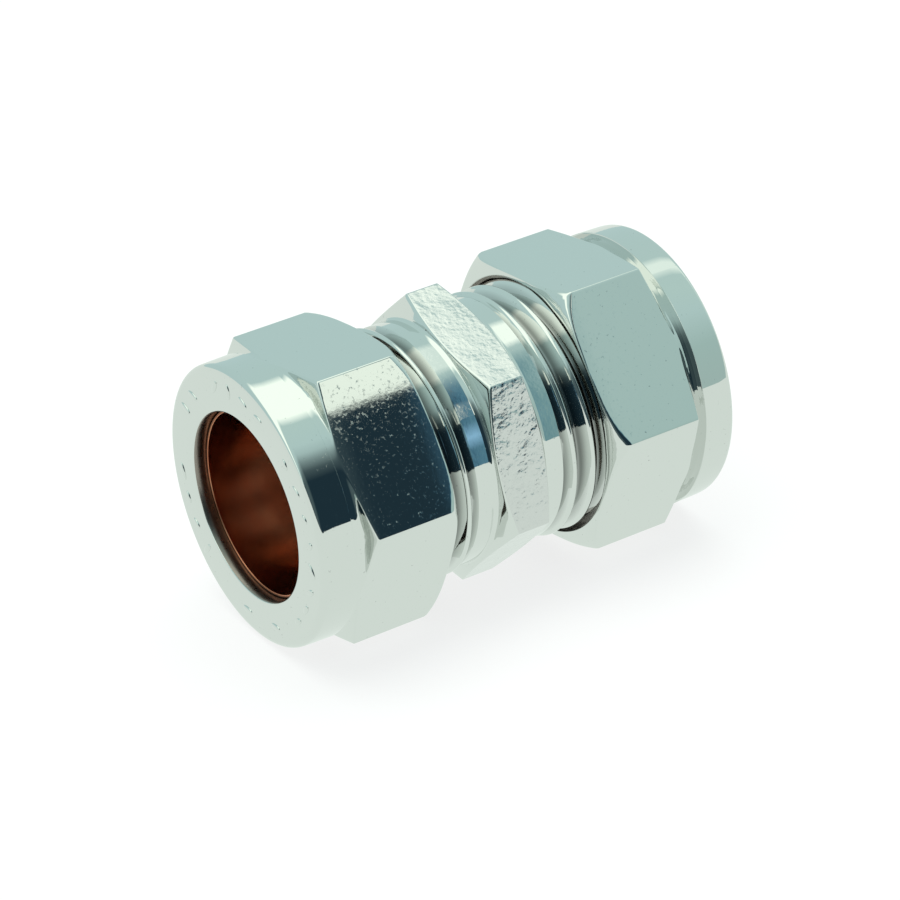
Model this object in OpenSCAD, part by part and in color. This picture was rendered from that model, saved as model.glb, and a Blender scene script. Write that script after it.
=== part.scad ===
// Straight compression coupler for 15 mm copper pipe.
// A hexagonal body carries a parallel pipe thread at each end. A copper olive
// sits in the mouth of each end, and a compression nut closes over it.
// X runs along the pipe and the origin is the middle of the body.

/* [Pipe] */
// Outside diameter of the pipe that is joined
pipe_d = 15; // [14.9:0.05:15.05]
// Clearance all round between the pipe and its socket
pipe_clearance = 0.05; // [0.03:0.01:0.1]
// Distance from the middle of the body to the stop that the pipe meets
stop_face = 1.5; // [0.8:0.1:2.5]
// Bore through the stop in the middle
waterway_d = 12.6; // [10:0.1:13.5]

/* [Thread] */
// Outside diameter of the parallel pipe thread
thread_d = 20.955; // [20.7:0.005:21]
// Distance from one turn to the next
thread_pitch = 1.814; // [1.5:0.001:1.9]
// Angle between the two flanks of the thread
thread_angle = 55; // [50:1:60]
// Play between the body's thread and the nut's
thread_play = 0.12; // [0.08:0.01:0.16]
// Flat facets in one turn of the thread
facets_per_turn = 48; // [24:4:60]

/* [Body] */
// Size across the flats of the body's hexagon
body_af = 21.2; // [21:0.1:22]
// Width of the hexagon along the pipe
body_hex_w = 4.4; // [4:0.1:5]
// Angle of the chamfer on the hexagon's corners
body_chamfer = 23; // [15:1:35]
// Distance from the middle of the body to either end
body_end = 12.4; // [12:0.1:13]
// Turn of the body's hexagon against the nuts, in degrees
body_turn = 22.7; // [0:0.1:60]
// Diameter of the smooth neck between the hexagon and the thread
neck_d = 20.4; // [19.5:0.1:20.8]
// Width of the neck along the pipe
neck_w = 1.8; // [1.2:0.1:2]
// Half angle of the seat that the olive is pressed into
seat_angle = 15; // [12:0.5:16]

/* [Olive] */
// Length of the olive
olive_len = 8; // [7.5:0.1:8.4]
// Largest diameter of the olive, in its middle
olive_d = 17.7; // [17.2:0.1:17.9]
// Thickness of the thin lip at each end
olive_lip = 0.23; // [0.15:0.01:0.28]
// Length of the straight lip at each end
olive_lip_len = 0.8; // [0.4:0.1:1.2]

/* [Nut] */
// Size across the flats of the nut
nut_af = 22.5; // [22:0.1:24]
// Length of the nut
nut_len = 12.3; // [12:0.1:13]
// Length of the round collar on the outer end of the nut
collar_len = 3.1; // [2.5:0.1:3.5]
// Diameter of the collar at the face of the nut
collar_d = 23.4; // [22.8:0.1:23.6]
// Draft angle that widens the collar towards the hexagon
collar_draft = 1; // [0:0.5:4]
// Radius of the collar's rounded front edge
collar_round = 0.65; // [0.3:0.05:1]
// Radius of the shoulder where the collar ends against the hexagon
shoulder_round = 0.5; // [0.3:0.05:0.6]
// Distance from the nut's face to the hexagon's corners
corner_start = 4.3; // [4:0.1:5]
// Length of the chamfer on the hexagon's corners, along the pipe
corner_len = 1.1; // [0.8:0.1:1.4]
// Bulge of that chamfer beyond a straight cone
corner_bulge = 0.25; // [0:0.05:0.3]
// Bore of the nut, which the pipe passes through
nut_bore_d = 15.7; // [15.6:0.05:15.9]
// Chamfer round the mouth of the bore
mouth_chamfer = 0.15; // [0.1:0.05:0.3]
// Half angle of the cone that pushes on the olive
nut_cone_angle = 30; // [28:0.5:32]

/* [Position of the nuts] */
// Thread in sight between body and nut when the olive is finger tight
hand_gap = 3.85; // [3.5:0.05:4.5]
// Turns that the left nut is backed off from finger tight
turns_off_left = 0.5; // [0:0.01:2]
// Turns that the right nut is backed off from finger tight
turns_off_right = 0.84; // [0:0.01:2]
// Set-back of the olive's lip from the face of the nut
olive_setback = 1.2; // [1.1:0.05:1.3]
// Turn of the whole coupler about the pipe, so that it lies on its corners
lie_turn = -6.3; // [-10:0.1:0]

/* [Hidden] */
$fn = 96;
// Length by which a cut runs past the solid that it cuts
over = 1;
// Gap between parts that would touch
fit = 0.05;

// Whitworth form: the flats at crest and root are a sixth of the pitch
thread_depth = 0.6403 * thread_pitch;
thread_r = thread_d / 2;
root_r = thread_r - thread_depth;
crest_half = thread_pitch / 12;
flank = tan(thread_angle / 2);

socket_r = pipe_d / 2 + pipe_clearance;
hex_face = body_hex_w / 2;
neck_end = hex_face + neck_w;

// The olive: a barrel between two straight lips
olive_r = olive_d / 2;
lip_r = socket_r + olive_lip;
barrel_half = olive_len / 2 - olive_lip_len;
barrel_rise = olive_r - lip_r;
barrel_r = (barrel_half * barrel_half + barrel_rise * barrel_rise) / (2 * barrel_rise);
barrel_sweep = asin(barrel_half / barrel_r);
olive_mid = olive_setback + olive_len / 2;

// The cones touch the barrel where its surface has their own slope
seat_r = olive_r - barrel_r * (1 - cos(seat_angle)) + fit / cos(seat_angle);
seat_x = hex_face + hand_gap + nut_len - olive_mid - barrel_r * sin(seat_angle);
cone_r = olive_r - barrel_r * (1 - cos(nut_cone_angle)) + fit / cos(nut_cone_angle);
cone_x = olive_mid - barrel_r * sin(nut_cone_angle);

// The nut: hexagon, collar and the relief groove behind its thread
corner_r = nut_af / sqrt(3);
foot_r = nut_af / 2 - 0.15;
collar_r = collar_d / 2;
nut_bore_r = nut_bore_d / 2;
groove_r = thread_r + thread_play + 0.03;
groove_start = cone_x + (groove_r - cone_r) / tan(nut_cone_angle);
groove_w = 0.8;
thread_mouth_r = groove_r + 0.25;

chrome = [0.80, 0.84, 0.83];
copper = [0.62, 0.29, 0.16];

// Points on an arc about a centre, from angle a0 to angle a1
function arc(centre, r, a0, a1, steps = 8) = [
    for (i = [0 : steps])
        let (a = a0 + (a1 - a0) * i / steps)
        centre + r * [cos(a), sin(a)]
];

// Points from p to q that bulge to the left of the straight line
function bow(p, q, bulge, steps = 6) =
    let (d = q - p, left = [-d[1], d[0]] / norm(d))
    [for (i = [0 : steps]) let (t = i / steps) p + t * d + 4 * t * (1 - t) * bulge * left];

// Radius of a cone at x, where it has radius r0 at x0 and opens at an angle
function cone_at(x, x0, r0, angle) = r0 + (x - x0) * tan(angle);
// Place along the axis where that cone has radius r
function cone_reach(r, x0, r0, angle) = x0 + (r - r0) / tan(angle);

// Distance from the body's middle to a nut's outer face
function nut_face(turns_off) = hex_face + hand_gap + turns_off * thread_pitch + nut_len;

// One pitch of thread as [distance along the axis, radius]. Play widens it all
// round, for the thread inside a nut.
function thread_profile(play) =
    let (crest = thread_r + play, root = root_r + play)
    let (top = crest_half + play / 2 - flank * play, foot = top + flank * thread_depth)
    [[-foot, root], [-top, crest], [top, crest], [foot, root]];

// A right-hand threaded rod along Z with a crest at height 0 on the X side. It
// covers z0 to z1 and more, and is cut to length where it is used.
module threaded_rod(z0, z1, play = 0) {
    profile = thread_profile(play);
    k = len(profile);
    n = facets_per_turn;
    first = floor(z0 / thread_pitch) - 1;
    turns = ceil(z1 / thread_pitch) - first;
    rows = n * (turns + 1);
    wall = [
        for (i = [0 : rows], q = profile)
            let (a = 360 * i / n)
            [q[1] * cos(a), q[1] * sin(a), q[0] + (first + i / n) * thread_pitch]
    ];
    low = len(wall);
    high = low + 1;
    ends = [[0, 0, (first - 2) * thread_pitch], [0, 0, (first + turns + 3) * thread_pitch]];
    crests = [
        for (i = [0 : rows - 1], j = [0 : k - 2])
            let (p = i * k + j)
            each [[p, p + 1, p + k], [p + 1, p + k + 1, p + k]]
    ];
    roots = [
        for (i = [0 : rows - n - 1])
            let (p = i * k + k - 1, q = (i + n) * k)
            each [[p, q, p + k], [q, q + k, p + k]]
    ];
    low_end = concat(
        [for (i = [0 : n - 1]) [low, i * k, (i + 1) * k]],
        [for (j = [0 : k - 2]) [low, j + 1, j]],
        [[low, n * k, k - 1]]
    );
    high_end = concat(
        [for (i = [rows - n : rows - 1]) [high, (i + 1) * k + k - 1, i * k + k - 1]],
        [for (j = [0 : k - 2]) [high, rows * k + j, rows * k + j + 1]],
        [[high, (rows - n) * k + k - 1, rows * k]]
    );
    polyhedron(concat(wall, ends), concat(crests, roots, low_end, high_end));
}

// Turns a shape drawn along Z to lie along X, outwards to the given side
module outwards(side) rotate([lie_turn, 0, 0]) rotate([0, 90 * side, 0]) children();

// Turned solid from [distance along the axis, radius] points
module turned(points) rotate_extrude() polygon([for (q = points) [q[1], q[0]]]);

// Hexagonal bar along Z with a flat towards the ground
module hex_bar(af, z0, z1) {
    translate([0, 0, z0]) rotate([0, 0, 90]) cylinder(r = af / sqrt(3), h = z1 - z0, $fn = 6);
}

// Bar hexagon with turned chamfers on both faces
module body_hexagon() {
    corner = body_af / sqrt(3) + 0.1;
    face_r = body_af / 2 - 0.1;
    back = (corner - face_r) * tan(body_chamfer);
    intersection() {
        hex_bar(body_af, -hex_face, hex_face);
        turned([
            [-hex_face, 0], [-hex_face, face_r], [back - hex_face, corner],
            [hex_face - back, corner], [hex_face, face_r], [hex_face, 0]
        ]);
    }
}

// Male thread from the neck to the end of the body, with a lead-in chamfer. It
// starts on a cone inside the neck, and clears the crests by wide.
module male_thread() {
    start = neck_end - 0.5;
    start_r = neck_d / 2 - 0.6;
    wide = 0.5;
    rise = thread_r + wide - start_r;
    lead = 0.8 * thread_depth;
    intersection() {
        threaded_rod(neck_end, body_end);
        turned([
            [start, 0], [start, start_r], [start + rise, start_r + rise],
            [body_end - lead - wide, thread_r + wide], [body_end, thread_r - lead], [body_end, 0]
        ]);
    }
}

module body_half() {
    cylinder(r = neck_d / 2, h = neck_end);
    male_thread();
}

// Pipe socket and the cone that the olive seats in
module socket_cut() {
    cone_start = cone_reach(socket_r, seat_x, seat_r, seat_angle);
    cut_end = body_end + over;
    turned([
        [stop_face, 0], [stop_face, socket_r], [cone_start, socket_r],
        [cut_end, cone_at(cut_end, seat_x, seat_r, seat_angle)], [cut_end, 0]
    ]);
}

module body() {
    color(chrome) difference() {
        union() {
            rotate([body_turn, 0, 0]) outwards(1) body_hexagon();
            for (side = [-1, 1]) outwards(side) body_half();
        }
        for (side = [-1, 1]) outwards(side) socket_cut();
        outwards(1) cylinder(d = waterway_d, h = 2 * (stop_face + over), center = true);
    }
}

// Outside of a nut along Z, with its face at 0 and its threaded end at nut_len.
// The collar stands a little proud of the flats.
module nut_outside() {
    front = corner_start - corner_len;
    back = nut_len - corner_len;
    intersection() {
        hex_bar(nut_af, front, nut_len);
        turned(concat(
            [[front - over, 0]],
            bow([front, foot_r], [corner_start, corner_r], corner_bulge),
            [[corner_start + over, corner_r + over], [back - over, corner_r + over]],
            bow([back, corner_r], [nut_len, foot_r], corner_bulge),
            [[nut_len + over, 0]]
        ));
    }
    // The collar's root cone stays under the flats
    root = [collar_len + 0.6, foot_r - 0.6];
    shoulder_z = collar_len - shoulder_round;
    shoulder = [shoulder_z, cone_at(collar_len, 0, collar_r, collar_draft) - shoulder_round];
    turned(concat(
        [[0, 0]],
        arc([collar_round, collar_r - collar_round], collar_round, 180, 90 + collar_draft),
        arc(shoulder, shoulder_round, 90 + collar_draft, 20),
        [root, [root[0], 0]]
    ));
}

// Space inside a nut: bore, cone and the relief groove behind the thread
module nut_cavity() {
    cone_start = cone_reach(nut_bore_r, cone_x, cone_r, nut_cone_angle);
    groove_end = groove_start + groove_w;
    turned([
        [-over, 0], [-over, nut_bore_r + mouth_chamfer + over], [mouth_chamfer, nut_bore_r],
        [cone_start, nut_bore_r], [groove_start, groove_r], [groove_end, groove_r], [groove_end, 0]
    ]);
}

// Female thread, drawn from the body's middle so that it meshes with the male
module female_thread(face) {
    mouth = face - nut_len;
    inner = face - groove_start - groove_w / 2;
    intersection() {
        threaded_rod(mouth, inner, thread_play);
        translate([0, 0, mouth - over]) cylinder(r = thread_r + over, h = inner - mouth + over);
    }
    lead_end = mouth + thread_mouth_r - root_r;
    turned([
        [mouth - over, 0], [mouth - over, thread_mouth_r + over], [lead_end, root_r], [lead_end, 0]
    ]);
}

module nut(side, turns_off) {
    face = nut_face(turns_off);
    color(chrome) outwards(side) difference() {
        translate([0, 0, face]) rotate([180, 0, 0]) difference() {
            nut_outside();
            nut_cavity();
        }
        female_thread(face);
    }
}

module olive(side, turns_off) {
    half = olive_len / 2;
    centre = [0, olive_r - barrel_r];
    color(copper) outwards(side) translate([0, 0, nut_face(turns_off) - olive_mid]) turned(concat(
        [[-half, socket_r], [-half, lip_r]],
        arc(centre, barrel_r, 90 + barrel_sweep, 90 - barrel_sweep, 24),
        [[half, lip_r], [half, socket_r]]
    ));
}

module nut_left() nut(-1, turns_off_left);
module nut_right() nut(1, turns_off_right);
module olive_left() olive(-1, turns_off_left);
module olive_right() olive(1, turns_off_right);

body();
nut_left();
nut_right();
olive_left();
olive_right();
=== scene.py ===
import math

import bmesh
import bpy
import numpy as np
from mathutils import Matrix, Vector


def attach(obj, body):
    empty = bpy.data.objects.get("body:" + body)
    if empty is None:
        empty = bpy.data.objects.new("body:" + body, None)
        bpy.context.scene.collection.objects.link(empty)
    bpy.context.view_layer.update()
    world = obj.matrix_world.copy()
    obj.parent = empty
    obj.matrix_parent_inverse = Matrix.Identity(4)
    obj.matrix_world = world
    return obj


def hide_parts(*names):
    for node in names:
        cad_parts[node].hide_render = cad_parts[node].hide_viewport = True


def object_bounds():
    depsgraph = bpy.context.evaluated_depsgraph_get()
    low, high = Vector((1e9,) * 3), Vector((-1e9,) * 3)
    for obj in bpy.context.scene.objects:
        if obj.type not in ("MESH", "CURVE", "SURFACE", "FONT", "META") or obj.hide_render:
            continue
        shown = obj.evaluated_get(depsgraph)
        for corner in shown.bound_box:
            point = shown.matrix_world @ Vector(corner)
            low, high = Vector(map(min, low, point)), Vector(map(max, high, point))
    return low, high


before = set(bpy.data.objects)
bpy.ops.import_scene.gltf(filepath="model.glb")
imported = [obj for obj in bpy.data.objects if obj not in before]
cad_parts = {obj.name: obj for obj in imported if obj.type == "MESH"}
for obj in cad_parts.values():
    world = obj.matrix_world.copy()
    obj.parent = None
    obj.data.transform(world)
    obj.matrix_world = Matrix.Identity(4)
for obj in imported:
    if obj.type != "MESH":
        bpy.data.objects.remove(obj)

cad_box = [list(corner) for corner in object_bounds()]


# Viewpoint
# The coupler is looked at from a little above, with its left nut nearest and
# its mouth half turned to the viewer. A long lens keeps the perspective low.
viewpoint = bpy.data.cameras.new("viewpoint")
viewpoint.lens, viewpoint.sensor_width = 160.2, 36
viewpoint.clip_start, viewpoint.clip_end = 0.02, 20
viewer = bpy.data.objects.new("viewpoint", viewpoint)
bpy.context.scene.collection.objects.link(viewer)
viewer.matrix_world = Matrix((
    (0.8355, 0.3085, -0.4547, -0.14643),
    (-0.5468, 0.3846, -0.7437, -0.23932),
    (-0.0545, 0.8700, 0.4900, 0.15613),
    (0, 0, 0, 1),
))
bpy.context.scene.camera = viewer
bpy.context.scene.view_settings.view_transform = "Standard"


# Studio
# A white table in a light-grey room. One long softbox hangs over the table, and
# the room is dark where the viewer stands. Bright plating shows all of this, so
# the room is painted as bands round the coupler's own line, the X axis.
def add_node(tree, kind, inputs=(), **settings):
    """A shader or geometry node with its settings and its socket values or links."""
    made = tree.nodes.new(kind)
    for name, value in settings.items():
        setattr(made, name, value)
    for name, value in dict(inputs).items():
        socket = made.inputs[name]
        if isinstance(value, bpy.types.NodeSocket):
            tree.links.new(value, socket)
        else:
            socket.default_value = value
    return made


def sums(tree, operation, *values, clamp=False):
    """The result of one Math node."""
    made = add_node(tree, "ShaderNodeMath", enumerate(values), operation=operation, use_clamp=clamp)
    return made.outputs[0]


def ramp(tree, factor, stops):
    """Colour along a ramp of (place, colour) stops."""
    made = add_node(tree, "ShaderNodeValToRGB", {"Fac": factor})
    band = made.color_ramp
    while len(band.elements) < len(stops):
        band.elements.new(0.5)
    for element, (place, colour) in zip(band.elements, stops):
        element.position = place
        element.color = (*colour, 1)
    return made.outputs["Color"]


def share_ramp(tree, factor, stops):
    """A share along a ramp of (place, share) stops."""
    return ramp(tree, factor, [(place, (share, share, share)) for place, share in stops])


def blend(tree, factor, a, b, kind="MIX"):
    """Mixes two colours, each a socket or a value."""
    made = tree.nodes.new("ShaderNodeMix")
    made.data_type, made.blend_type = "RGBA", kind
    for i, value in ((0, factor), (6, a), (7, b)):
        if isinstance(value, bpy.types.NodeSocket):
            tree.links.new(value, made.inputs[i])
        else:
            made.inputs[i].default_value = value if i == 0 else (*value, 1)
    return made.outputs[2]


def band_place(degrees):
    """Place on a ramp of an angle round the X axis, from -180 to 180."""
    return (degrees + 180) / 360


WALL = (0.56, 0.69, 0.72)
SOFTBOX = (1.30, 1.32, 1.25)
WINDOW = (0.36, 0.62, 0.92)
CARD = (1.10, 1.12, 1.05)
ROOM_TINT = (0.933, 1.013, 0.960)
# Angles round the X axis, in degrees
SOFTBOX_MIDDLE, SOFTBOX_FADE, CARD_EDGE = 75.0, 7.0, 139.64
room = bpy.data.worlds.new("studio")
bpy.context.scene.world = room
room.use_nodes = True
room_tree = room.node_tree
room_tree.nodes.clear()
direction = add_node(room_tree, "ShaderNodeSeparateXYZ", {
    "Vector": add_node(room_tree, "ShaderNodeTexCoord").outputs["Generated"]})
along = direction.outputs["X"]
round_x = sums(room_tree, "ARCTAN2", direction.outputs["Z"], direction.outputs["Y"])
turn = sums(room_tree, "MULTIPLY_ADD", round_x, 1 / (2 * math.pi), 0.5)
walls = ramp(room_tree, turn, [
    (band_place(-180), (0.45, 0.56, 0.56)),
    (band_place(-174), (0.45, 0.56, 0.56)),
    (band_place(-172), (0.85, 0.88, 0.86)),
    (band_place(-60), (0.92, 0.92, 0.90)),
    (band_place(-48), (1.25, 1.25, 1.20)),
    (band_place(-14), (1.25, 1.25, 1.20)),
    (band_place(-4), WALL),
    (band_place(100), (0.58, 0.72, 0.72)),
    (band_place(122), (0.56, 0.70, 0.72)),
    (band_place(150), (0.45, 0.58, 0.58)),
    (band_place(180), (0.45, 0.56, 0.56)),
])
# The softbox: a long strip that gets narrower towards the right
strip = add_node(room_tree, "ShaderNodeMapRange", {
    "Value": along, "From Min": 0.430, "From Max": 0.510, "To Min": 24.0, "To Max": 11.0}).outputs[0]
off_strip = sums(room_tree, "ABSOLUTE", sums(
    room_tree, "SUBTRACT", sums(room_tree, "DEGREES", round_x), SOFTBOX_MIDDLE))
softbox_round = sums(
    room_tree, "DIVIDE", sums(room_tree, "SUBTRACT", strip, off_strip), SOFTBOX_FADE, clamp=True)
softbox_along = share_ramp(room_tree, along, [
    (0.440, 1), (0.452, 0.85), (0.460, 0.32), (0.464, 0.50), (0.469, 0.95), (0.480, 0.95), (0.510, 0.60),
])
# The dark part of the room starts higher up over the middle of the coupler
shift = sums(room_tree, "MULTIPLY", sums(
    room_tree, "SUBTRACT", sums(room_tree, "MINIMUM", along, 0.461), 0.430, clamp=True), 2.6)
dark_start = share_ramp(room_tree, sums(room_tree, "ADD", turn, shift, clamp=True), [
    (band_place(117), 0), (band_place(124), 0.15), (band_place(130), 0.55),
    (band_place(137), 0.88), (band_place(145), 1),
])
dark_end = share_ramp(room_tree, turn, [(band_place(-173), 1), (band_place(-172), 0)])
dark_round = sums(room_tree, "MAXIMUM", dark_start, dark_end)
dark_along = share_ramp(room_tree, sums(room_tree, "MULTIPLY_ADD", along, 0.5, 0.5), [
    (0.20, 0.85), (0.40, 1), (0.734, 1), (0.739, 0.75), (0.746, 0),
])
dark_colour = ramp(room_tree, along, [
    (0.449, (0.016, 0.034, 0.050)), (0.456, (0.050, 0.120, 0.190)),
    (0.461, (0.100, 0.230, 0.340)), (0.480, (0.160, 0.320, 0.360)),
])
# A window far behind the viewer leaves one blue streak in it
window_round = share_ramp(room_tree, turn, [(band_place(144), 0), (band_place(157), 1), (band_place(168), 0)])
window_along = share_ramp(room_tree, along, [(0.450, 0), (0.461, 1), (0.474, 0)])
# A white card stands just above it, and ends in a straight edge. Math nodes
# keep that edge sharp, which a ramp can't.
card_start = share_ramp(room_tree, turn, [(band_place(124), 0), (band_place(128), 1)])
card_edge = sums(room_tree, "MULTIPLY", sums(
    room_tree, "SUBTRACT", CARD_EDGE, sums(room_tree, "DEGREES", round_x)), 9.0, clamp=True)
card_round = sums(room_tree, "MULTIPLY", card_start, card_edge)
card_along = share_ramp(room_tree, along, [(0.412, 0), (0.422, 1), (0.454, 1), (0.458, 0)])
seen_room = walls
for share_round, share_along, colour in (
        (softbox_round, softbox_along, SOFTBOX), (dark_round, dark_along, dark_colour),
        (window_round, window_along, WINDOW), (card_round, card_along, CARD)):
    seen_room = blend(room_tree, sums(room_tree, "MULTIPLY", share_round, share_along), seen_room, colour)
seen_room = blend(room_tree, 1.0, seen_room, ROOM_TINT, "MULTIPLY")
# The plating sees the room, and the camera sees plain white behind the coupler
straight = add_node(room_tree, "ShaderNodeLightPath").outputs["Is Camera Ray"]
sky = add_node(room_tree, "ShaderNodeBackground", {
    "Color": blend(room_tree, straight, seen_room, (1, 1, 1)), "Strength": 1.0})
add_node(room_tree, "ShaderNodeOutputWorld", {"Surface": sky.outputs[0]})

# The table top is matt white board, and it lies right under the coupler. The
# plating sees it a little darker, as board that the softbox doesn't reach.
table_z = cad_box[0][2]
table_corners = ((-1.2, -0.22), (1.2, -0.22), (1.2, 1.2), (-1.2, 1.2))
table_mesh = bpy.data.meshes.new("table_top")
table_mesh.from_pydata([(x, y, table_z) for x, y in table_corners], [], [(0, 1, 2, 3)])
table_top = bpy.data.objects.new("table_top", table_mesh)
bpy.context.scene.collection.objects.link(table_top)
board = bpy.data.materials.new("white_board")
board.use_nodes = True
board_tree = board.node_tree
board_tree.nodes.clear()
rays = add_node(board_tree, "ShaderNodeLightPath").outputs
mirrored = sums(board_tree, "MAXIMUM", rays["Is Glossy Ray"], rays["Is Transmission Ray"])
shows = sums(board_tree, "MAXIMUM", sums(board_tree, "MULTIPLY", rays["Is Camera Ray"], 0.80), mirrored)
matt = add_node(board_tree, "ShaderNodeBsdfDiffuse", {"Color": (0.88, 0.89, 0.88, 1)})
lit = add_node(board_tree, "ShaderNodeEmission", {
    "Color": blend(board_tree, mirrored, (1, 1, 1), (0.80, 0.88, 0.826)), "Strength": 1.0})
board_mix = add_node(board_tree, "ShaderNodeMixShader", {0: shows, 1: matt.outputs[0], 2: lit.outputs[0]})
add_node(board_tree, "ShaderNodeOutputMaterial", {"Surface": board_mix.outputs[0]})
table_mesh.materials.append(board)

overhead = bpy.data.lights.new("overhead_softbox", "AREA")
overhead.shape, overhead.size, overhead.size_y, overhead.energy = "RECTANGLE", 0.9, 0.6, 5.0
overhead_lamp = bpy.data.objects.new("overhead_softbox", overhead)
overhead_lamp.location = (0.0, 0.1, 0.7)
overhead_lamp.visible_glossy = False
bpy.context.scene.collection.objects.link(overhead_lamp)


# Body
# The body is drop-forged brass: a hexagon in the middle, and on each side a
# turned neck, a 1/2 inch pipe thread and a socket for the pipe. It is plated
# with bright chrome, and the forged flats of the hexagon stay rough under it.
THREAD_R, THREAD_PITCH = 10.4775, 1.814
THREAD_DEPTH = 0.6403 * THREAD_PITCH
ROOT_R = THREAD_R - THREAD_DEPTH
BODY_END, NECK_R, NECK_END, HEX_FACE = 12.4, 10.2, 4.0, 2.2
END_R = ROOT_R + 0.05
WATERWAY_R, STOP_HALF, SOCKET_R, SEAT_FOOT = 6.3, 1.5, 7.55, 7.405
SEAT_S, SEAT_R, SEAT_SLOPE = 11.773, 8.7205, math.radians(15)      # where the olive meets the seat
BODY_COLUMNS = 192
LIE_TURN = math.radians(-6.3)


def lay(points, side):
    """Turns points drawn along Z, in mm, to lie along X towards one side, in metres."""
    x, y, z = (np.asarray(points, float).reshape(-1, 3) * 0.001).T
    x, z = (z, -x) if side > 0 else (-z, x)
    c, s = math.cos(LIE_TURN), math.sin(LIE_TURN)
    return np.column_stack([x, y * c - z * s, y * s + z * c])


def sheet_faces(rows, columns, closed=False):
    """Quads between rows of points that each run round the axis."""
    row = np.arange(rows if closed else rows - 1)[:, None]
    col = np.arange(columns)[None, :]
    nxt, up = (col + 1) % columns, (row + 1) % rows
    quads = np.stack([row * columns + col, row * columns + nxt, up * columns + nxt, up * columns + col], -1)
    return quads.reshape(-1, 4).tolist()


def round_corner(points, radius, steps=4):
    """A profile of (along, radius) points whose corners are rounded."""
    done = [points[0]]
    for before, corner, after in zip(points, points[1:], points[2:]):
        p, q, r = (np.array(v[:2], float) for v in (before, corner, after))
        size = corner[2] if len(corner) > 2 else radius
        a, b = p - q, r - q
        la, lb = np.linalg.norm(a), np.linalg.norm(b)
        cut = min(size, 0.45 * la, 0.45 * lb)
        for t in np.linspace(0, 1, steps + 1):
            done.append(tuple(q + a / la * cut * (1 - t) ** 2 + b / lb * cut * t ** 2))
    return [v[:2] for v in done] + [points[-1][:2]]


def spread(profile, longest):
    """The same profile with its long stretches cut into shorter ones."""
    done = [profile[0]]
    for p, q in zip(profile, profile[1:]):
        n = max(1, math.ceil(math.dist(p, q) / longest))
        done += [tuple(np.array(p) + (np.array(q) - np.array(p)) * i / n) for i in range(1, n + 1)]
    return done


def plain_mesh(name, points, faces, materials, smooth=40, marks=None):
    """A mesh object at the origin, welded, facing outwards and smoothly shaded."""
    mesh = bpy.data.meshes.new(name)
    mesh.from_pydata([tuple(p) for p in points], [], faces)
    for material in materials:
        mesh.materials.append(material)
    if marks is not None:
        mesh.polygons.foreach_set("material_index", marks)
    made = bpy.data.objects.new(name, mesh)
    bpy.context.scene.collection.objects.link(made)
    tidy_mesh(mesh, smooth)
    return made


def tidy_mesh(mesh, smooth):
    """Welds a closed mesh, turns its faces outwards and shades it smoothly."""
    work = bmesh.new()
    work.from_mesh(mesh)
    bmesh.ops.remove_doubles(work, verts=work.verts, dist=2e-6)
    bmesh.ops.dissolve_degenerate(work, edges=work.edges, dist=1e-7)
    bmesh.ops.recalc_face_normals(work, faces=work.faces)
    work.to_mesh(mesh)
    work.free()
    mesh.shade_smooth()
    mesh.set_sharp_from_angle(angle=math.radians(smooth))


def chrome(name, rough, mottle, grain, specks=0.37, nicks=0.3, tint=(0.75, 0.77, 0.75), root_shade_radii=None):
    """Chrome plate over brass: faint mottle and grain, dull specks, and a few small nicks.
    Given two radii, it is painted darker from one to the other: painted shade in the bottom of a thread."""
    made = bpy.data.materials.new(name)
    made.use_nodes = True
    tree = made.node_tree
    plate = tree.nodes["Principled BSDF"]
    place = add_node(tree, "ShaderNodeTexCoord").outputs["Object"]

    def noise(scale, detail):
        return add_node(tree, "ShaderNodeTexNoise", {
            "Vector": place, "Scale": scale, "Detail": detail}).outputs["Fac"]

    cloud, fine, dots = noise(420, 3), noise(2600, 2), noise(3900, 2)
    speck = sums(tree, "MULTIPLY", sums(tree, "SUBTRACT", dots, 1 - specks, clamp=True), 4, clamp=True)
    nick = sums(tree, "MULTIPLY", sums(tree, "SUBTRACT", dots, 0.72, clamp=True), 8, clamp=True)
    colour = blend(tree, nick, tint, tuple(0.4 * c for c in tint))
    # Painted shade: the colour darkens towards the thread's roots, where shade falls.
    if root_shade_radii:
        parts = add_node(tree, "ShaderNodeSeparateXYZ", {"Vector": place}).outputs
        across = sums(tree, "SQRT", sums(tree, "ADD", sums(tree, "MULTIPLY", parts["Y"], parts["Y"]),
                                         sums(tree, "MULTIPLY", parts["Z"], parts["Z"])))
        root_shade = add_node(tree, "ShaderNodeMapRange", {
            "Value": across, "From Min": root_shade_radii[0] * 0.001, "From Max": root_shade_radii[1] * 0.001}).outputs[0]
        colour = blend(tree, root_shade, tuple(0.35 * c for c in tint), colour)
    tree.links.new(colour, plate.inputs["Base Color"])
    plate.inputs["Metallic"].default_value = 1
    even = sums(tree, "MULTIPLY_ADD", fine, 0.6 * rough, 0.7 * rough)
    tree.links.new(sums(tree, "MULTIPLY_ADD", speck, 0.11, even), plate.inputs["Roughness"])
    low = add_node(tree, "ShaderNodeBump", {"Height": cloud, "Strength": mottle, "Distance": 0.0002})
    high = add_node(tree, "ShaderNodeBump", {
        "Height": fine, "Strength": grain, "Distance": 0.00004, "Normal": low.outputs[0]})
    nicked = add_node(tree, "ShaderNodeBump", {
        "Height": nick, "Strength": nicks, "Distance": 0.00003, "Normal": high.outputs[0]}, invert=True)
    tree.links.new(nicked.outputs[0], plate.inputs["Normal"])
    return made


turned_chrome = chrome("chrome_turned", 0.03, 0.004, 0.02, nicks=0.1)
forged_chrome = chrome("chrome_forged", 0.10, 0.32, 0.34, nicks=0.6, tint=(0.72, 0.73, 0.72))
# The thread's plating is painted darker towards its roots, as painted shade.
thread_chrome = chrome("chrome_thread", 0.04, 0.006, 0.03, nicks=0.1, root_shade_radii=(9.2, 10.2))


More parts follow.
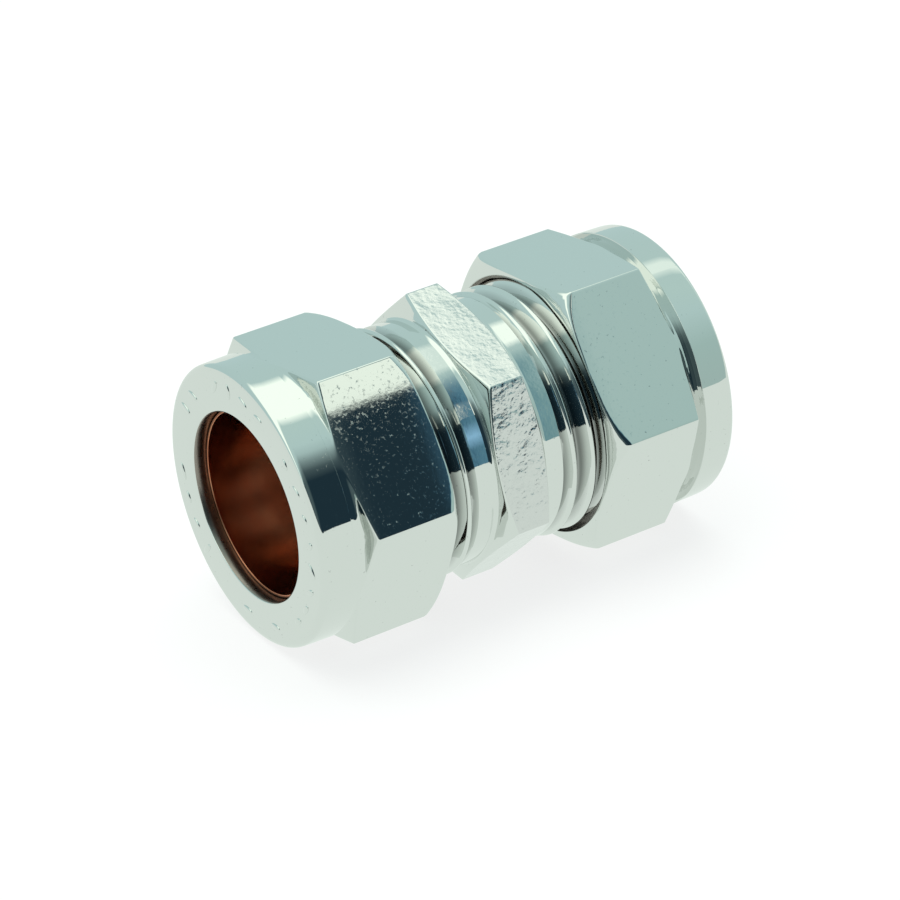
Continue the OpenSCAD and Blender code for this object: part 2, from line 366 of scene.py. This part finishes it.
def thread_tree(name, material, play, start, end, columns, fall=1.7):
    """Geometry Nodes tree for one thread, drawn along Z with a crest at height 0 on
    the X side: a grid wound round the axis along the helix, then cut to length."""
    tree = bpy.data.node_groups.new(name, "GeometryNodeTree")
    face = tree.interface
    face.new_socket("Geometry", in_out="OUTPUT", socket_type="NodeSocketGeometry")
    for title, value in (
            ("Pitch", THREAD_PITCH), ("Crest radius", THREAD_R + play), ("Depth", THREAD_DEPTH),
            ("Start", start), ("End", end), ("Start radius", NECK_R), ("End radius", END_R),
            ("Run out", 0.0)):
        socket = face.new_socket(title, in_out="INPUT", socket_type="NodeSocketFloat")
        socket.default_value = value
    steps = face.new_socket("Steps per turn", in_out="INPUT", socket_type="NodeSocketInt")
    steps.default_value = 16
    size = add_node(tree, "NodeGroupInput").outputs

    def do(operation, *values, clamp=False):
        return sums(tree, operation, *values, clamp=clamp)

    # Rows follow the helix, and one turn is a whole number of rows
    turns = do("CEIL", do("DIVIDE", do("SUBTRACT", size["End"], size["Start"]), size["Pitch"]))
    spare = do("ADD", turns, 3)
    rows = do("MULTIPLY_ADD", spare, size["Steps per turn"], 1)
    grid = add_node(tree, "GeometryNodeMeshGrid", {
        "Size X": 1.0, "Size Y": 1.0, "Vertices X": columns + 1, "Vertices Y": rows})
    spot = add_node(tree, "ShaderNodeSeparateXYZ", {
        "Vector": add_node(tree, "GeometryNodeInputPosition").outputs[0]}).outputs
    across, up = do("ADD", spot["X"], 0.5), do("ADD", spot["Y"], 0.5)
    first = do("SUBTRACT", do("FLOOR", do("DIVIDE", size["Start"], size["Pitch"])), 2)
    helix = do("ADD", do("MULTIPLY_ADD", up, spare, first), across)
    height = do("MULTIPLY", helix, size["Pitch"])
    held = do("MINIMUM", do("MAXIMUM", height, size["Start"]), size["End"])
    # Distance from the nearest crest, as a share of half the pitch
    lead = do("SUBTRACT", do("DIVIDE", held, size["Pitch"]), across)
    away = do("MULTIPLY", do("ABSOLUTE", do("SUBTRACT", lead, do("ROUND", lead))), 2)
    form = tree.nodes.new("ShaderNodeFloatCurve")
    curve = form.mapping.curves[0]
    for place, rise in (
            (0.10, 0.985), (0.17, 0.93), (0.24, 0.82), (0.76, 0.18), (0.84, 0.06), (0.92, 0.01)):
        curve.points.new(place, rise)
    curve.points[0].location, curve.points[-1].location = (0, 1), (1, 0)
    form.mapping.update()
    tree.links.new(away, form.inputs["Value"])
    ridge = do("MULTIPLY_ADD", do("SUBTRACT", form.outputs[0], 1), size["Depth"], size["Crest radius"])
    from_start = do("SUBTRACT", held, size["Start"])
    to_end = do("SUBTRACT", size["End"], held)
    if play == 0:   # outside: the thread rises from the neck, and its end is chamfered
        ridge = do("MINIMUM", ridge, do("ADD", size["Start radius"], from_start))
        ridge = do("MAXIMUM", ridge, do("MULTIPLY_ADD", from_start, -fall, size["Start radius"]))
        ridge = do("MINIMUM", ridge, do("ADD", to_end, size["End radius"]))
        ridge = do("MAXIMUM", ridge, do("MULTIPLY_ADD", to_end, -fall, size["End radius"]))
    else:           # inside a nut: it opens at the mouth and runs out into the groove
        ridge = do("MAXIMUM", ridge, do("SUBTRACT", size["Start radius"], from_start))
        past = do("MAXIMUM", do("SUBTRACT", to_end, size["Run out"]), 0.0)
        ridge = do("MAXIMUM", ridge, do("MULTIPLY_ADD", past, -fall, size["End radius"]))
    turn_angle = do("MULTIPLY", across, 2 * math.pi)
    where = add_node(tree, "ShaderNodeCombineXYZ", {
        "X": do("MULTIPLY", ridge, do("COSINE", turn_angle)),
        "Y": do("MULTIPLY", ridge, do("SINE", turn_angle)), "Z": held})
    wound = add_node(tree, "GeometryNodeSetPosition", {
        "Geometry": grid.outputs[0], "Position": where.outputs[0]})
    # Rows that lie wholly outside the length collapse, and go
    area = add_node(tree, "GeometryNodeInputMeshFaceArea").outputs[0]
    thin = do("LESS_THAN", area, 1e-7)
    kept = add_node(tree, "GeometryNodeDeleteGeometry", {
        "Geometry": wound.outputs[0], "Selection": thin}, domain="FACE")
    welded = add_node(tree, "GeometryNodeMergeByDistance", {
        "Geometry": kept.outputs[0], "Distance": 0.002})
    finished = add_node(tree, "GeometryNodeSetMaterial", {
        "Geometry": welded.outputs[0], "Material": material})
    add_node(tree, "NodeGroupOutput", {"Geometry": finished.outputs[0]})
    return tree


def grown(tree, **sizes):
    """Points and faces of the mesh that a Geometry Nodes tree makes."""
    seed_mesh = bpy.data.meshes.new(tree.name)
    holder = bpy.data.objects.new(tree.name, seed_mesh)
    bpy.context.scene.collection.objects.link(holder)
    modifier = holder.modifiers.new("form", "NODES")
    modifier.node_group = tree
    for item in tree.interface.items_tree:
        if item.item_type == "SOCKET" and item.in_out == "INPUT":
            modifier[item.identifier] = sizes.get(item.name.replace(" ", "_").lower(), item.default_value)
    depsgraph = bpy.context.evaluated_depsgraph_get()
    made = bpy.data.meshes.new_from_object(holder.evaluated_get(depsgraph), depsgraph=depsgraph)
    holder.modifiers.remove(modifier)
    points = np.empty(len(made.vertices) * 3)
    made.vertices.foreach_get("co", points)
    faces = [list(p.vertices) for p in made.polygons]
    bpy.data.objects.remove(holder)
    bpy.data.meshes.remove(made)
    return points.reshape(-1, 3), faces


def turned(profile, columns):
    """Points round Z for a profile of (along, radius)."""
    a = np.arange(columns) * 2 * math.pi / columns
    return np.array([[(r * math.cos(t), r * math.sin(t), z) for t in a] for z, r in profile]).reshape(-1, 3)


male = thread_tree("pipe_thread", thread_chrome, 0, NECK_END, BODY_END, BODY_COLUMNS)
body_points, body_faces, body_marks = [], [], []


def add_skin(points, faces, mark):
    """Adds one skin to the body. Its mark is its finish: 0 turned, 1 forged, 2 thread."""
    first = sum(len(p) for p in body_points)
    body_points.append(points)
    body_faces.extend([[i + first for i in f] for f in faces])
    body_marks.extend([mark] * len(faces))


# Waterway, stop, pipe socket, seat cone and end face, then the thread and neck
seat_mouth = SEAT_R + (BODY_END - SEAT_S) * math.tan(SEAT_SLOPE)
for side in (-1, 1):
    inside = spread(round_corner([
        (0, WATERWAY_R), (STOP_HALF, WATERWAY_R), (STOP_HALF, SOCKET_R), (SEAT_FOOT, SOCKET_R),
        (BODY_END, seat_mouth), (BODY_END, END_R),
    ], 0.06), 1.2)
    add_skin(lay(turned(inside, BODY_COLUMNS), side), sheet_faces(len(inside), BODY_COLUMNS), 0)
    points, faces = grown(male)
    add_skin(lay(points, side), faces, 2)

# The hexagon with its turned chamfers, from neck to neck
HEX_HALF = 21.2 / 2
FLAT_STEPS, EDGE_STEPS, NARROW = 24, 8, 0.008


def hexagon_columns(half, edge, vertex):
    """Angles round X that are close together on a hexagon's six rounded corners. The
    flats have one more narrow column by each corner, which keeps the rest true."""
    flat = math.atan((half - edge) * math.tan(math.pi / 6) / half)
    one = np.concatenate([
        [-flat], np.linspace(NARROW - flat, flat - NARROW, FLAT_STEPS - 1),
        np.linspace(flat, math.pi / 3 - flat, EDGE_STEPS, endpoint=False),
    ])
    return np.concatenate([one + math.pi / 6 + vertex + k * math.pi / 3 for k in range(6)])


def hexagon_reach(angle, half, edge, vertex):
    """Distance from the axis to a hexagon with rounded corners."""
    d = (angle - vertex) % (math.pi / 3)
    from_flat = np.abs(d - math.pi / 6)
    flat = half / np.cos(from_flat)
    centre = (half - edge) / math.cos(math.pi / 6)
    from_corner = math.pi / 6 - from_flat
    inside = np.clip(edge ** 2 - (centre * np.sin(from_corner)) ** 2, 0, None)
    arc = centre * np.cos(from_corner) + np.sqrt(inside)
    limit = math.atan((half - edge) * math.tan(math.pi / 6) / half)
    return np.where(from_flat <= limit, flat, arc)


def soft_least(a, b, width):
    """The lesser of two, with a round change between them."""
    h = np.clip(0.5 + 0.5 * (b - a) / width, 0, 1)
    return b * (1 - h) + a * h - width * h * (1 - h)


def eased_angles(own, share):
    """The columns' angles, moved by a share towards the even spacing of the thread."""
    step = 2 * math.pi / len(own)
    even = LIE_TURN + np.arange(len(own)) * step
    even += step * round(float(np.mean(own - even)) / step)
    return own + (even - own) * share


def skin_of_rings(rings, own):
    """Points in metres for rings round X of (x, radius, share of even spacing), where x
    and radius are one number or one for each column."""
    points = []
    for x, r, share in rings:
        a = eased_angles(own, share)
        points.append(np.column_stack([np.zeros(len(own)) + x, r * np.cos(a), r * np.sin(a)]))
    return np.vstack(points) * 0.001


def row_places(marks):
    """Rows between marked places, each mark a place and its number of rows from the last.
    A place is one number, or one for each column where the rows follow an edge."""
    rows = [marks[0][0]]
    for (p, _), (q, count) in zip(marks, marks[1:]):
        rows += [p + (q - p) * i / count for i in range(1, count + 1)]
    return rows


BODY_EDGE, BODY_CHAMFER, NECK_ROOT, CHAMFER_ROWS = 0.22, math.radians(67), 0.35, 8


def neck_share(x):
    """How far a ring of the neck has gone over to the thread's even spacing."""
    return (x - HEX_FACE) / (NECK_END - HEX_FACE)


body_vertex = LIE_TURN + math.radians(22.7)
body_angles = hexagon_columns(HEX_HALF, BODY_EDGE, body_vertex)
body_reach = hexagon_reach(body_angles, HEX_HALF, BODY_EDGE, body_vertex)
face_r = HEX_HALF - 0.1
neck_rings = [(x, NECK_R, neck_share(x)) for x in np.linspace(NECK_END, 2.7, 6)]
for q in np.radians(np.linspace(0, 72, 7)):
    x = HEX_FACE + NECK_ROOT * (1 - math.sin(q))
    neck_rings.append((x, NECK_R + NECK_ROOT * (1 - math.cos(q)), neck_share(x)))
half_hexagon, half_marks = [], []
edge_x = HEX_FACE - (body_reach - face_r) / math.tan(BODY_CHAMFER)
for x in row_places([(HEX_FACE, 0), (edge_x, CHAMFER_ROWS), (edge_x - 0.12, 5), (0.2, 4)]):
    cone = face_r + (HEX_FACE - x) * math.tan(BODY_CHAMFER)
    half_hexagon.append((x, soft_least(body_reach, cone, BODY_EDGE), 0.0))
    # The forged finish starts just past the rounded edge of the chamfer
    half_marks.append(1 if len(half_hexagon) > CHAMFER_ROWS + 2 else 0)
rings = neck_rings + half_hexagon
rings += [(-x, r, share) for x, r, share in rings[::-1]]
row_marks = [0] * len(neck_rings) + half_marks + half_marks[::-1] + [0] * len(neck_rings)
faces = sheet_faces(len(rings), len(body_angles))
add_skin(skin_of_rings(rings, body_angles), faces, 0)
for n in range(len(faces)):
    row = n // len(body_angles)
    body_marks[n - len(faces)] = min(row_marks[row], row_marks[row + 1])
coupler_body = plain_mesh("coupler_body", np.vstack(body_points), body_faces,
                          [turned_chrome, forged_chrome, thread_chrome], smooth=50, marks=body_marks)
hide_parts("body")
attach(coupler_body, "body")


# Olives
# Each olive is a ring of soft copper, turned from tube: a barrel between two
# thin lips. It slips over the pipe, and lies loose behind its nut.
OLIVE_COLUMNS = 160


def copper_metal():
    """Soft coppery metal with the fine rings of the turning tool."""
    made = bpy.data.materials.new("olive_copper")
    made.use_nodes = True
    tree = made.node_tree
    metal = tree.nodes["Principled BSDF"]
    place = add_node(tree, "ShaderNodeTexCoord").outputs["Object"]
    parts = add_node(tree, "ShaderNodeSeparateXYZ", {"Vector": place}).outputs
    rings_along = add_node(tree, "ShaderNodeTexNoise", {
        "W": sums(tree, "MULTIPLY", parts["X"], 9000), "Scale": 1.0, "Detail": 2},
        noise_dimensions="1D").outputs["Fac"]
    tarnish = add_node(tree, "ShaderNodeTexNoise", {
        "Vector": place, "Scale": 260, "Detail": 4}).outputs["Fac"]
    colour = ramp(tree, tarnish, [
        (0.35, (0.56, 0.20, 0.11)), (0.55, (0.68, 0.27, 0.15)), (0.75, (0.76, 0.36, 0.21))])
    tree.links.new(colour, metal.inputs["Base Color"])
    metal.inputs["Metallic"].default_value = 1
    tree.links.new(sums(tree, "MULTIPLY_ADD", tarnish, 0.10, 0.16), metal.inputs["Roughness"])
    bump = add_node(tree, "ShaderNodeBump", {"Height": rings_along, "Strength": 0.12, "Distance": 0.00002})
    tree.links.new(bump.outputs[0], metal.inputs["Normal"])
    return made


olive_copper = copper_metal()
OLIVE_HALF, OLIVE_BORE, OLIVE_LIP, OLIVE_R = 4, 7.55, 7.78, 8.85
BARREL_HALF, BARREL_R = 3.2, 5.320
# At finger tight a nut leaves this gap to the body's hexagon, and each turn
# off it adds one pitch. The olive's middle lies this far behind the nut's face.
TIGHT_GAP, NUT_LEN, OLIVE_MIDDLE = 3.85, 12.3, 5.2
TURNS_OFF = {"left": 0.5, "right": 0.84}
NUT_FACE = {name: HEX_FACE + TIGHT_GAP + off * THREAD_PITCH + NUT_LEN for name, off in TURNS_OFF.items()}
for name, side in (("left", -1), ("right", 1)):
    sweep = math.asin(BARREL_HALF / BARREL_R)
    barrel = [(BARREL_R * math.sin(t), OLIVE_R - BARREL_R * (1 - math.cos(t)))
              for t in np.linspace(-sweep, sweep, 33)]
    start = round_corner([
        (0.5 - OLIVE_HALF, OLIVE_BORE), (-OLIVE_HALF, OLIVE_BORE, 0.07), (-OLIVE_HALF, OLIVE_LIP, 0.12),
        barrel[0],
    ], 0.1, 5)
    profile = start[:-1] + barrel + [(-z, r) for z, r in start[:-1][::-1]]
    profile = [(z + NUT_FACE[name] - OLIVE_MIDDLE, r) for z, r in spread(profile, 0.8)]
    ring = lay(turned(profile, OLIVE_COLUMNS), side)
    olive = plain_mesh("copper_olive_" + name, ring, sheet_faces(len(profile), OLIVE_COLUMNS, closed=True),
                       [olive_copper], smooth=60)
    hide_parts("olive_" + name)
    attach(olive, "olive_" + name)


# Compression nuts
# Each nut is hot-stamped brass, turned, polished and chromed: a hexagon with
# bulged chamfers, a turned hollow, and a round collar whose flat face has a ring
# of plain raised marks. Inside are the cone that squeezes the olive, and the thread.
NUT_ACROSS = 22.5
NUT_HALF, NUT_CORNER, NUT_FOOT = NUT_ACROSS / 2, NUT_ACROSS / math.sqrt(3), NUT_ACROSS / 2 - 0.15
COLLAR_R, COLLAR_ROUND, COLLAR_DRAFT = 11.7, 0.65, math.radians(1)
NUT_EDGE, POLISHED = 0.22, 0.30      # rounding of the hexagon's corners and of its back chamfers
GROOVE_S, GROOVE_R, GROOVE_W = 6.753, 10.6275, 0.8
CONE_S, NUT_BORE_R, BORE_CHAMFER = 1.942, 7.85, 0.14
MOUTH_R, MOUTH_EDGE, THREAD_PLAY, MARK_RISE = 10.8775, 0.08, 0.12, 0.12
nut_chrome = chrome("chrome_nut", 0.016, 0.0010, 0.005, specks=0.44, nicks=0.1)
# The bore, cone and thread inside each nut are painted dark brown-grey: painted shade for the dim inside of
# the nut.
bore_metal = chrome("bore_metal", 0.30, 0.02, 0.08, nicks=0.1, tint=(0.32, 0.28, 0.25))


def bulged(s, p, q, bulge):
    """Radius at s on a curve from p to q that stands out from the straight line."""
    (s0, r0), (s1, r1) = p, q
    length = math.dist(p, q)
    t = np.linspace(-0.9, 1.9, 400)
    lift = np.where((t > 0) & (t < 1), 4 * t * (1 - t) * bulge, 0)
    ss = s0 + (s1 - s0) * t - (r1 - r0) / length * lift
    rr = r0 + (r1 - r0) * t + (s1 - s0) / length * lift
    return np.interp(s, ss, rr)


def back_chamfer(s):
    """Radius of the bulged chamfer that the nut has at its mouth."""
    return bulged(s, (11.2, NUT_CORNER), (NUT_LEN, NUT_FOOT), 0.25) + 0.10


def collar_radius(s):
    """Radius of the collar, which widens a little from its face to its shoulder."""
    return COLLAR_R + s * math.tan(COLLAR_DRAFT)


def collar_profile(face_s):
    """The collar from its rounded face edge to its shoulder, as (s, radius)."""
    front = []
    for t in np.linspace(0, math.pi / 2 - COLLAR_DRAFT, 9):
        s = face_s + (COLLAR_ROUND - face_s) * (1 - math.cos(t))
        front.append((s, COLLAR_R - COLLAR_ROUND + COLLAR_ROUND * math.sin(t)))
    return front + [(s, collar_radius(s)) for s in (1.4, 2.2)]


def shoulder(s):
    """Radius of the collar, and of the short step down behind it to the hollow."""
    return soft_least(collar_radius(s), 11.70 - (s - 3.05) * 8, 0.06)


hollow_line = np.array(round_corner([(2.9, 11.15), (4.02, 11.25), (4.62, 13.4)], 0.40, 12))


def front_chamfer(s):
    """Radius of the turned hollow behind the collar, and of the chamfer it rises into."""
    return np.interp(s, hollow_line[:, 0], hollow_line[:, 1])


def mark_tree(material):
    """Geometry Nodes tree for a ring of small raised marks, drawn round Z: short
    rounded bars and pips of uneven size, with some places left out."""
    tree = bpy.data.node_groups.new("face_marks", "GeometryNodeTree")
    face = tree.interface
    face.new_socket("Geometry", in_out="OUTPUT", socket_type="NodeSocketGeometry")
    for title, value, kind in (
            ("Ring radius", 9.9, "Float"), ("Height along", 0.0, "Float"), ("Length", 0.85, "Float"),
            ("Width", 0.27, "Float"), ("Rise", MARK_RISE, "Float"), ("Places", 28, "Int"),
            ("Seed", 7, "Int")):
        socket = face.new_socket(title, in_out="INPUT", socket_type="NodeSocket" + kind)
        socket.default_value = value
    size = add_node(tree, "NodeGroupInput").outputs

    def chance(low, high, offset):
        made = add_node(tree, "FunctionNodeRandomValue", {
            "Seed": sums(tree, "ADD", size["Seed"], offset)}, data_type="FLOAT")
        made.inputs[2].default_value, made.inputs[3].default_value = low, high
        return made.outputs[1]

    line = add_node(tree, "GeometryNodeMeshLine", {"Count": size["Places"]})
    index = add_node(tree, "GeometryNodeInputIndex").outputs[0]
    angle = sums(tree, "MULTIPLY", sums(tree, "DIVIDE", index, size["Places"]), 2 * math.pi)
    where = add_node(tree, "ShaderNodeCombineXYZ", {
        "X": sums(tree, "MULTIPLY", size["Ring radius"], sums(tree, "COSINE", angle)),
        "Y": sums(tree, "MULTIPLY", size["Ring radius"], sums(tree, "SINE", angle)),
        "Z": size["Height along"]})
    placed = add_node(tree, "GeometryNodeSetPosition", {
        "Geometry": line.outputs[0], "Position": where.outputs[0]})
    left_out = sums(tree, "GREATER_THAN", chance(0, 1, 1), 0.80)
    some = add_node(tree, "GeometryNodeDeleteGeometry", {
        "Geometry": placed.outputs[0], "Selection": left_out}, domain="POINT")
    bar = add_node(tree, "GeometryNodeMeshIcoSphere", {"Radius": 1.0, "Subdivisions": 3})
    spin = add_node(tree, "ShaderNodeCombineXYZ", {"Z": sums(tree, "ADD", angle, chance(-0.9, 0.9, 2))})
    stretch = add_node(tree, "ShaderNodeCombineXYZ", {
        "X": sums(tree, "MULTIPLY", size["Length"], chance(0.45, 1.0, 3)),
        "Y": size["Width"], "Z": size["Rise"]})
    bars = add_node(tree, "GeometryNodeInstanceOnPoints", {
        "Points": some.outputs[0], "Instance": bar.outputs[0],
        "Rotation": spin.outputs[0], "Scale": stretch.outputs[0]})
    real = add_node(tree, "GeometryNodeRealizeInstances", {"Geometry": bars.outputs[0]})
    finished = add_node(tree, "GeometryNodeSetMaterial", {
        "Geometry": real.outputs[0], "Material": material})
    add_node(tree, "NodeGroupOutput", {"Geometry": finished.outputs[0]})
    return tree


nut_angles = hexagon_columns(NUT_HALF, NUT_EDGE, LIE_TURN)
nut_reach = hexagon_reach(nut_angles, NUT_HALF, NUT_EDGE, LIE_TURN)
face_marks = mark_tree(nut_chrome)


def nut_rings():
    """Rings of (s, radii, share of even spacing, finish) from the relief groove inside,
    out through the bore, over the face and the outside, to the mouth of the thread."""
    face_s = MARK_RISE
    bore_s = face_s + BORE_CHAMFER
    inner = round_corner([(GROOVE_S, GROOVE_R), (CONE_S, NUT_BORE_R), (bore_s, NUT_BORE_R)], 0.05)
    # Finish 1 paints the cone and bore dark, as painted shade inside the nut.
    rings = [(s, r, max(0.0, (s - CONE_S) / (GROOVE_S - CONE_S)), 1) for s, r in spread(inner, 0.6)]
    face = round_corner([
        (bore_s, NUT_BORE_R), (face_s, NUT_BORE_R + BORE_CHAMFER, 0.1), (face_s, 9.5),
        (face_s, COLLAR_R - COLLAR_ROUND),
    ], 0.06)
    front = collar_profile(face_s)
    rings += [(s, r, 0.0, 0) for s, r in face[1:] + front[1:]]
    # Rows follow the edges where the shoulder, the chamfers and the flats meet
    fine = np.linspace(3.0, 4.6, 400)
    over = np.minimum(nut_reach[:, None], front_chamfer(fine)) - shoulder(fine)
    foot_s = fine[np.argmax(over > 0, axis=1)]
    front_s = np.interp(nut_reach, front_chamfer(fine), fine)
    polish = 0.07 + 0.38 * (nut_reach - NUT_HALF) / (NUT_CORNER - NUT_HALF)
    for s in row_places([
            (2.5, 0), (2.97, 1), (3.01, 1), (3.08, 4), (foot_s, 3), (front_s - 0.35, 4), (front_s, 8),
            (front_s + 0.35, 8), (front_s + 0.40, 1), (front_s + 0.45, 1), (5.8, 1)]):
        r = soft_least(nut_reach, front_chamfer(s), polish)
        rings.append((s, -soft_least(-r, -shoulder(s), 0.04), 0.0, 0))
    fine = np.linspace(NUT_LEN, 10.5, 400)
    back_s = np.interp(nut_reach, back_chamfer(fine), fine)
    back_s = np.minimum(back_s, NUT_LEN - 0.06)
    after = np.minimum(0.30, 0.5 * (NUT_LEN - back_s))
    for s in row_places([
            (7.5, 0), (10.0, 1), (back_s - 0.44, 1), (back_s - 0.38, 1), (back_s - 0.32, 1), (back_s, 7),
            (back_s + after, 6), (NUT_LEN - 0.02, 3)]):
        rings.append((s, soft_least(nut_reach, back_chamfer(s), POLISHED), 0.0, 0))
    rings += [(NUT_LEN, NUT_FOOT - 0.12, 0.3, 0), (NUT_LEN, 10.95, 0.6, 0),
              (NUT_LEN - 0.02, 10.90, 0.9, 0), (NUT_LEN - MOUTH_EDGE, MOUTH_R, 1.0, 0)]
    return rings


for name, side in (("left", -1), ("right", 1)):
    face_x = NUT_FACE[name]
    rings = nut_rings()
    skin = skin_of_rings([(side * (face_x - s), r, share) for s, r, share, _ in rings], nut_angles)
    skin_faces = sheet_faces(len(rings), len(nut_angles))
    chrome_or_shaded_bore = [rings[n // len(nut_angles)][3] for n in range(len(skin_faces))]
    # The nut's inner thread also gets the dark bore colour, as painted shade.
    female = thread_tree("nut_thread_" + name, bore_metal, THREAD_PLAY,
                         face_x - NUT_LEN + MOUTH_EDGE, face_x - GROOVE_S, len(nut_angles))
    thread_points, thread_faces = grown(female, start_radius=MOUTH_R, end_radius=GROOVE_R, run_out=GROOVE_W)
    mark_points, mark_faces = grown(face_marks, height_along=face_x - MARK_RISE)
    after_thread = len(skin) + len(thread_points)
    nut = plain_mesh(
        "nut_" + name + "_shell",
        np.vstack([skin, lay(thread_points, side), lay(mark_points, side)]),
        skin_faces + [[i + len(skin) for i in f] for f in thread_faces]
        + [[i + after_thread for i in f] for f in mark_faces],
        [nut_chrome, bore_metal], smooth=50,
        marks=chrome_or_shaded_bore + [1] * len(thread_faces) + [0] * len(mark_faces))
    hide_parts("nut_" + name)
    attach(nut, "nut_" + name)
